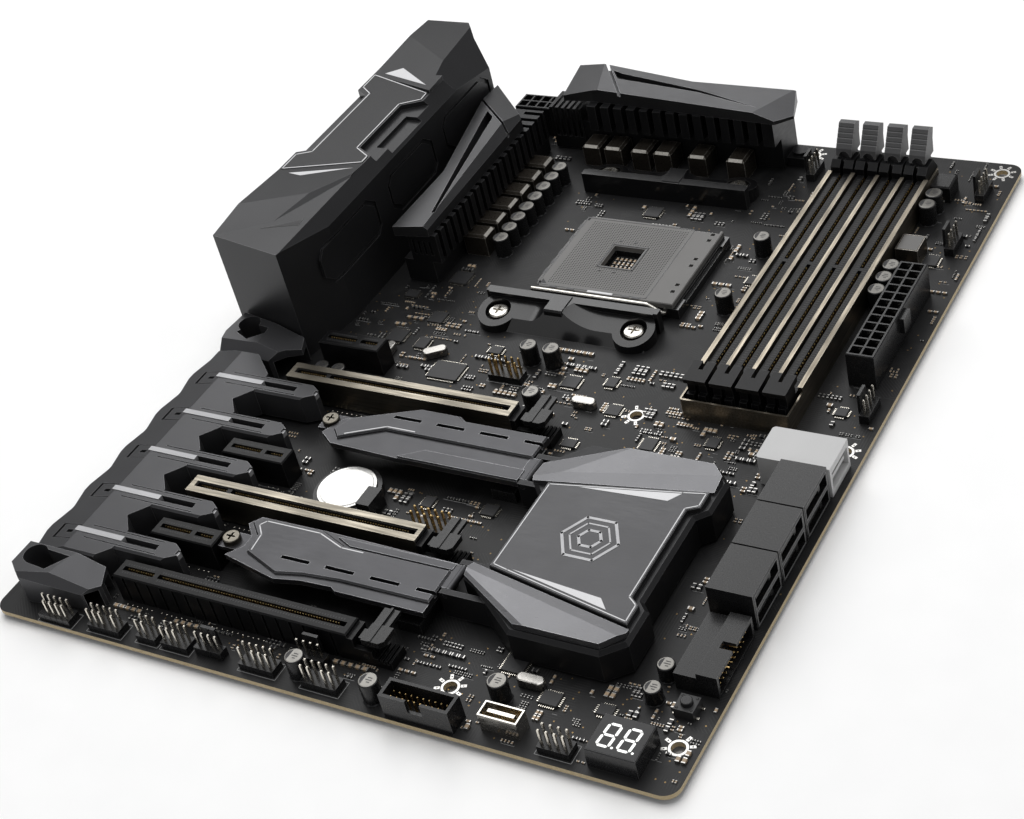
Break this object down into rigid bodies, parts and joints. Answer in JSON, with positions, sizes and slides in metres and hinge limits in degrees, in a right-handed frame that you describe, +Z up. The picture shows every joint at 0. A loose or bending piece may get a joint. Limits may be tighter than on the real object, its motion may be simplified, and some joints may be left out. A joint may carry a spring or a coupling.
{
  "type": "computer motherboard",
  "caption": "Full-size desktop computer mainboard with processor socket, memory and expansion slots, heatsinks, drive shields, covers and rear sockets.",
  "frame": {"origin": "centre of the four corner mounting holes, on the underside of the circuit board", "axes": "+X from the rear socket edge to the front edge, +Y from the expansion slots to the processor end, +Z up out of the component side"},
  "size_m": [0.2462, 0.3048, 0.0506],
  "materials": {
    "board": "matte black solder mask over glass-fibre laminate",
    "steel": "plain bright steel",
    "black_steel": "black coated steel",
    "black_alu": "black anodised",
    "grey_alu": "gunmetal anodised",
    "silver_alu": "silver anodised",
    "cover": "fine-grained dark grey",
    "cover_grey": "mid grey with a metallic look",
    "shroud": "fine-grained dark grey",
    "accent": "light grey",
    "socket_plastic": "moulded black",
    "socket_grey": "moulded warm grey",
    "slot_plastic": "moulded black",
    "latch_plastic": "moulded grey",
    "shield_steel": "bright tinned steel",
    "choke": "pressed ferrite, dark bronze",
    "capacitor": "black can with a bare metal top",
    "chip": "moulded epoxy",
    "port_steel": "tinned shells",
    "connector": "moulded black",
    "white_plastic": "moulded off-white",
    "cell": "bright steel can",
    "button": "glossy"
  },
  "bodies": {
    "board": {"pcb": "board", "cooler_backplate": "black_steel", "cooler_bracket_lower": "socket_plastic", "cooler_bracket_upper": "socket_plastic", "bracket_screws": "steel", "socket_base": "socket_plastic", "dimm_shields": "shield_steel", "pcie_x16_armor": "shield_steel", "pcie_x1_slots": "slot_plastic", "io_cover": "cover", "io_cover_plate": "cover_grey", "io_ports": "port_steel", "vrm_heatsink_left": "black_alu", "vrm_heatsink_top": "black_alu", "vrm_cap_left": "grey_alu", "vrm_cap_top": "grey_alu", "chokes": "choke", "capacitors": "capacitor", "chips": "chip", "lower_shroud": "shroud", "shroud_ends": "cover", "shroud_accents": "accent", "chipset_heatsink": "black_alu", "chipset_plate": "grey_alu", "chipset_wings": "silver_alu", "m2_sockets": "connector", "sata_stacks": "connector", "u2_connector": "white_plastic", "atx_power_socket": "connector", "eps_power_socket": "connector", "usb3_headers": "connector", "usb31_front_connector": "steel", "pin_headers": "connector", "debug_display": "button", "battery": "cell", "battery_holder": "connector", "tact_switch_body": "steel", "dimm_slot_1": "slot_plastic", "dimm_slot_2": "slot_plastic", "dimm_slot_3": "slot_plastic", "dimm_slot_4": "slot_plastic", "pcie_x16_slot_1": "slot_plastic", "pcie_x16_slot_2": "slot_plastic", "pcie_x16_slot_3": "slot_plastic"},
    "socket_lever": {"socket_lever": "steel"},
    "socket_cover": {"socket_cover": "socket_grey"},
    "m2_shield_upper": {"m2_shield_upper": "silver_alu", "m2_screw_upper": "steel"},
    "m2_shield_lower": {"m2_shield_lower": "silver_alu", "m2_screw_lower": "steel"},
    "tact_plunger": {"tact_switch_plunger": "button"},
    "clear_button": {"clear_cmos_button": "button"},
    "flash_button": {"bios_flash_button": "button"},
    "dimm_latch_1": {"dimm_latch_1": "latch_plastic"},
    "dimm_latch_2": {"dimm_latch_2": "latch_plastic"},
    "dimm_latch_3": {"dimm_latch_3": "latch_plastic"},
    "dimm_latch_4": {"dimm_latch_4": "latch_plastic"},
    "pcie_latch_1": {"pcie_latch_1": "latch_plastic"},
    "pcie_latch_2": {"pcie_latch_2": "latch_plastic"},
    "pcie_latch_3": {"pcie_latch_3": "latch_plastic"}
  },
  "joints": [
    {"name": "lever_hinge", "type": "hinge", "parent": "board", "child": "socket_lever", "pos_m": [0.02857, 0.03452, 0.0042], "axis": [0, 1, 0], "range_deg": [0, 95]},
    {"name": "cover_slide", "type": "slide", "parent": "board", "child": "socket_cover", "axis": [-1, 0, 0], "range_m": [0, 0.0012]},
    {"name": "dimm_latch_1_hinge", "type": "hinge", "parent": "board", "child": "dimm_latch_1", "pos_m": [0.06198, 0.12622, 0.0061], "axis": [-1, 0, 0], "range_deg": [0, 30]},
    {"name": "dimm_latch_2_hinge", "type": "hinge", "parent": "board", "child": "dimm_latch_2", "pos_m": [0.07118, 0.12622, 0.0061], "axis": [-1, 0, 0], "range_deg": [0, 30]},
    {"name": "dimm_latch_3_hinge", "type": "hinge", "parent": "board", "child": "dimm_latch_3", "pos_m": [0.08038, 0.12622, 0.0061], "axis": [-1, 0, 0], "range_deg": [0, 30]},
    {"name": "dimm_latch_4_hinge", "type": "hinge", "parent": "board", "child": "dimm_latch_4", "pos_m": [0.08958, 0.12622, 0.0061], "axis": [-1, 0, 0], "range_deg": [0, 30]},
    {"name": "pcie_latch_1_hinge", "type": "hinge", "parent": "board", "child": "pcie_latch_1", "pos_m": [0.01307, -0.13698, 0.005], "axis": [0, 1, 0], "range_deg": [0, 12], "stiffness_Nm_per_rad": 0.02},
    {"name": "pcie_latch_2_hinge", "type": "hinge", "parent": "board", "child": "pcie_latch_2", "pos_m": [0.01307, -0.09634, 0.005], "axis": [0, 1, 0], "range_deg": [0, 12], "stiffness_Nm_per_rad": 0.02},
    {"name": "pcie_latch_3_hinge", "type": "hinge", "parent": "board", "child": "pcie_latch_3", "pos_m": [0.01307, -0.03538, 0.005], "axis": [0, 1, 0], "range_deg": [0, 12], "stiffness_Nm_per_rad": 0.02},
    {"name": "m2_shield_upper_hinge", "type": "hinge", "parent": "board", "child": "m2_shield_upper", "pos_m": [0.02778, -0.05988, 0.011], "axis": [0, 1, 0], "range_deg": [0, 60]},
    {"name": "m2_shield_lower_hinge", "type": "hinge", "parent": "board", "child": "m2_shield_lower", "pos_m": [0.02778, -0.10948, 0.011], "axis": [0, 1, 0], "range_deg": [0, 60]},
    {"name": "tact_press", "type": "slide", "parent": "board", "child": "tact_plunger", "axis": [0, 0, -1], "range_m": [0, 0.0003], "stiffness_N_per_m": 2000},
    {"name": "clear_press", "type": "slide", "parent": "board", "child": "clear_button", "axis": [1, 0, 0], "range_m": [0, 0.0005], "stiffness_N_per_m": 2000},
    {"name": "flash_press", "type": "slide", "parent": "board", "child": "flash_button", "axis": [1, 0, 0], "range_m": [0, 0.0005], "stiffness_N_per_m": 2000}
  ],
  "couplings": [
    {"joint": "cover_slide", "follows": "lever_hinge", "m_per_rad": 0.0007236}
  ]
}
